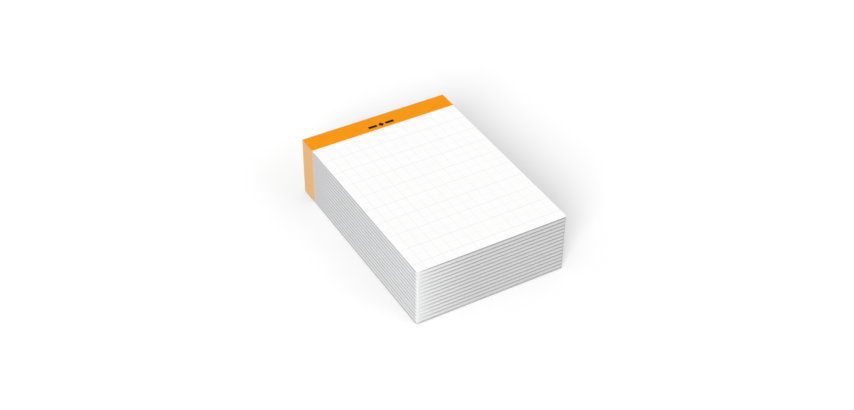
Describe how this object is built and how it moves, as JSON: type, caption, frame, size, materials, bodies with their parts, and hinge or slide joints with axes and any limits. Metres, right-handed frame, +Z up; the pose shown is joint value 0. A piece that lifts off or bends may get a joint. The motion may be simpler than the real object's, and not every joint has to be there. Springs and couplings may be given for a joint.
{
  "type": "legal pad",
  "caption": "Thick pocket-size pad of square-ruled paper, gummed at the head, with a folded paper strip round the bound end and a grey board under the sheets.",
  "frame": {"origin": "middle of the footprint, in the plane that the pad lies on", "axes": "+X to the reader's right, +Y from the foot towards the bound head, +Z up out of the first sheet"},
  "size_m": [0.0742, 0.1054, 0.0295],
  "materials": {
    "paper": "matt, ruled in pale grey squares",
    "board": "matt grey board",
    "glue": "dried white padding glue",
    "strip": "orange binding paper, satin"
  },
  "bodies": {
    "root": {"page_block": "paper", "backing_board": "board", "padding_glue": "glue", "binding_strip": "strip"}
  },
  "joints": []
}
